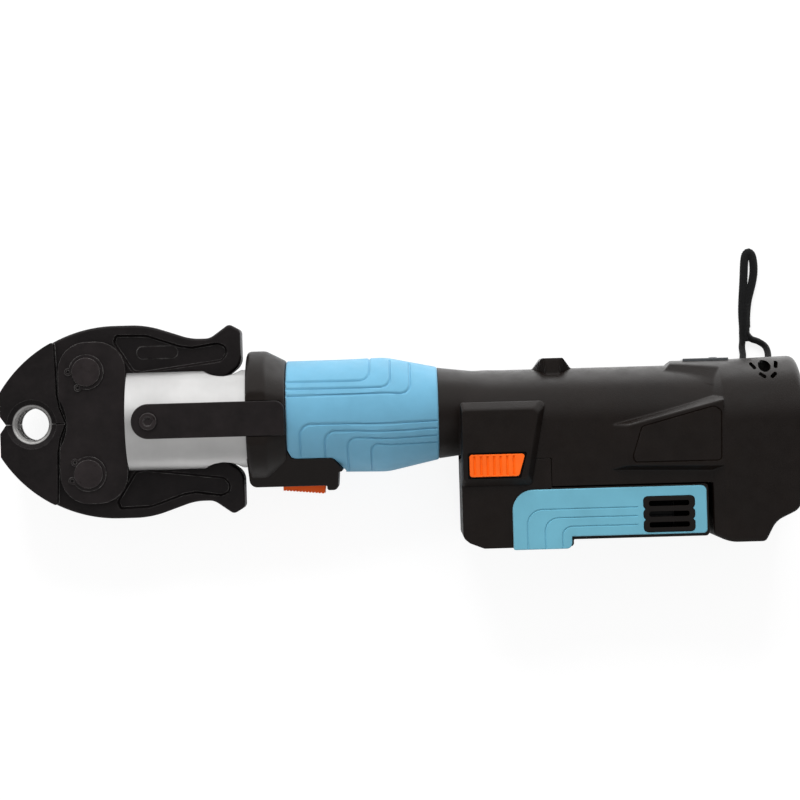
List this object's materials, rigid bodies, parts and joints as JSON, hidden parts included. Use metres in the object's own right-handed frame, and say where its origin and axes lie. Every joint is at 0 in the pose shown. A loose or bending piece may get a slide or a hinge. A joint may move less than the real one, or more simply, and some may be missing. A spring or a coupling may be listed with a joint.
{
  "type": "pex press tool",
  "caption": "Slim battery press tool for plastic water pipe, with pivoting press jaws in a round yoke, a blue hand grip with a thumb trigger, and a drop-off battery under a black body.",
  "frame": {"origin": "centre of the closed press bore on the tool's middle plane", "axes": "+Z along the press bore, up from the side that the tool lies on; +X along the tool from the jaws to the rear; the trigger and battery are on the -Y side"},
  "size_m": [0.4295, 0.159, 0.0688],
  "materials": {
    "black_steel": "black oxide, worn at the edges",
    "bright_steel": "turned and brushed",
    "black_plastic": "fine textured",
    "blue_grip": "soft satin",
    "blue_panel": "satin",
    "orange_plastic": "satin",
    "seal_rubber": "smooth",
    "board": "solder mask",
    "contact_brass": "plain",
    "lens": "smoked",
    "lanyard_weave": "woven",
    "cell_wrap": "shrink wrap"
  },
  "bodies": {
    "frame": {"link_plate_near": "black_steel", "link_plate_far": "black_steel", "pivot_clips": "black_steel", "yoke": "bright_steel", "pivot_pins": "bright_steel", "ram_cylinder": "bright_steel", "return_spring": "bright_steel", "pump_block": "bright_steel", "pump_plunger": "bright_steel", "gear_case": "bright_steel", "motor_can": "bright_steel", "trigger_pin": "bright_steel", "trigger_spring": "bright_steel", "housing_screws": "bright_steel", "bow_spring": "bright_steel", "front_collar": "black_plastic", "housing_near": "black_plastic", "housing_far": "black_plastic", "trigger_switch": "black_plastic", "lanyard_crimp": "black_plastic", "grip_near": "blue_grip", "grip_far": "blue_grip", "oil_bladder": "seal_rubber", "control_board": "board", "tool_terminals": "contact_brass", "indicator_lens": "lens", "lanyard_cord": "lanyard_weave", "lanyard_web": "lanyard_weave"},
    "jaw_upper": {"jaw_upper": "black_steel"},
    "jaw_lower": {"jaw_lower": "black_steel"},
    "keeper": {"keeper_pin": "bright_steel", "pull_strap": "black_steel", "strap_screw": "black_steel"},
    "ram": {"roller_fork": "bright_steel", "roller_pins": "bright_steel", "ram_piston": "bright_steel", "piston_seal": "seal_rubber"},
    "roller_upper": {"roller_upper": "bright_steel"},
    "roller_lower": {"roller_lower": "bright_steel"},
    "trigger": {"trigger": "orange_plastic"},
    "battery": {"battery_case": "black_plastic", "battery_lid": "black_plastic", "battery_cells": "cell_wrap", "cell_straps": "bright_steel", "panel_near": "blue_panel", "panel_far": "blue_panel", "vent_near": "black_plastic", "vent_far": "black_plastic", "leaf_near": "bright_steel", "leaf_far": "bright_steel"},
    "button_near": {"button_near": "orange_plastic"},
    "button_far": {"button_far": "orange_plastic"},
    "rotor": {"motor_rotor": "bright_steel"},
    "carrier": {"planet_carrier": "bright_steel", "crank_bearing": "bright_steel"},
    "planet_a": {"planet_a": "bright_steel"},
    "planet_b": {"planet_b": "bright_steel"},
    "planet_c": {"planet_c": "bright_steel"}
  },
  "joints": [
    {"name": "ram_slide", "type": "slide", "parent": "frame", "child": "ram", "axis": [1, 0, 0], "range_m": [0, 0.04], "deforming": ["return_spring", "bow_spring"]},
    {"name": "jaw_upper_hinge", "type": "hinge", "parent": "frame", "child": "jaw_upper", "pos_m": [0.03, 0.02725, 0], "axis": [0, 0, 1], "range_deg": [-12, 0]},
    {"name": "jaw_lower_hinge", "type": "hinge", "parent": "frame", "child": "jaw_lower", "pos_m": [0.03, -0.02725, 0], "axis": [0, 0, 1], "range_deg": [0, 12]},
    {"name": "roller_upper_spin", "type": "hinge", "parent": "ram", "child": "roller_upper", "pos_m": [0.085, 0.00625, 0], "axis": [0, 0, 1], "continuous": true},
    {"name": "roller_lower_spin", "type": "hinge", "parent": "ram", "child": "roller_lower", "pos_m": [0.085, -0.00625, 0], "axis": [0, 0, 1], "continuous": true},
    {"name": "keeper_slide", "type": "slide", "parent": "frame", "child": "keeper", "axis": [0, 0, 1], "range_m": [0, 0.066]},
    {"name": "trigger_hinge", "type": "hinge", "parent": "frame", "child": "trigger", "pos_m": [0.1363, -0.0336, 0], "axis": [0, 0, 1], "range_deg": [0, 6], "stiffness_Nm_per_rad": 0.4, "springref_deg": -5.73, "deforming": ["trigger_spring"]},
    {"name": "battery_slide", "type": "slide", "parent": "frame", "child": "battery", "axis": [0, -1, 0], "range_m": [0, 0.09]},
    {"name": "button_near_press", "type": "slide", "parent": "battery", "child": "button_near", "axis": [0, 0, -1], "range_m": [0, 0.0014], "stiffness_N_per_m": 900, "springref_m": -0.001, "deforming": ["leaf_near"]},
    {"name": "button_far_press", "type": "slide", "parent": "battery", "child": "button_far", "axis": [0, 0, 1], "range_m": [0, 0.0014], "stiffness_N_per_m": 900, "springref_m": -0.001, "deforming": ["leaf_far"]},
    {"name": "motor_spin", "type": "hinge", "parent": "frame", "child": "rotor", "pos_m": [0.2415, 0, 0], "axis": [1, 0, 0], "continuous": true},
    {"name": "carrier_spin", "type": "hinge", "parent": "frame", "child": "carrier", "pos_m": [0.2415, 0, 0], "axis": [1, 0, 0], "continuous": true},
    {"name": "planet_a_spin", "type": "hinge", "parent": "carrier", "child": "planet_a", "pos_m": [0.2415, 0.0105, 0], "axis": [1, 0, 0], "continuous": true},
    {"name": "planet_b_spin", "type": "hinge", "parent": "carrier", "child": "planet_b", "pos_m": [0.2415, -0.00525, 0.00909], "axis": [1, 0, 0], "continuous": true},
    {"name": "planet_c_spin", "type": "hinge", "parent": "carrier", "child": "planet_c", "pos_m": [0.2415, -0.00525, -0.00909], "axis": [1, 0, 0], "continuous": true}
  ],
  "couplings": [
    {"joint": "jaw_upper_hinge", "follows": "ram_slide", "rad_per_m": -5.2},
    {"joint": "jaw_lower_hinge", "follows": "ram_slide", "rad_per_m": 5.2},
    {"joint": "carrier_spin", "follows": "motor_spin", "ratio": 0.2},
    {"joint": "planet_a_spin", "follows": "motor_spin", "ratio": -0.53333},
    {"joint": "planet_b_spin", "follows": "motor_spin", "ratio": -0.53333},
    {"joint": "planet_c_spin", "follows": "motor_spin", "ratio": -0.53333}
  ]
}
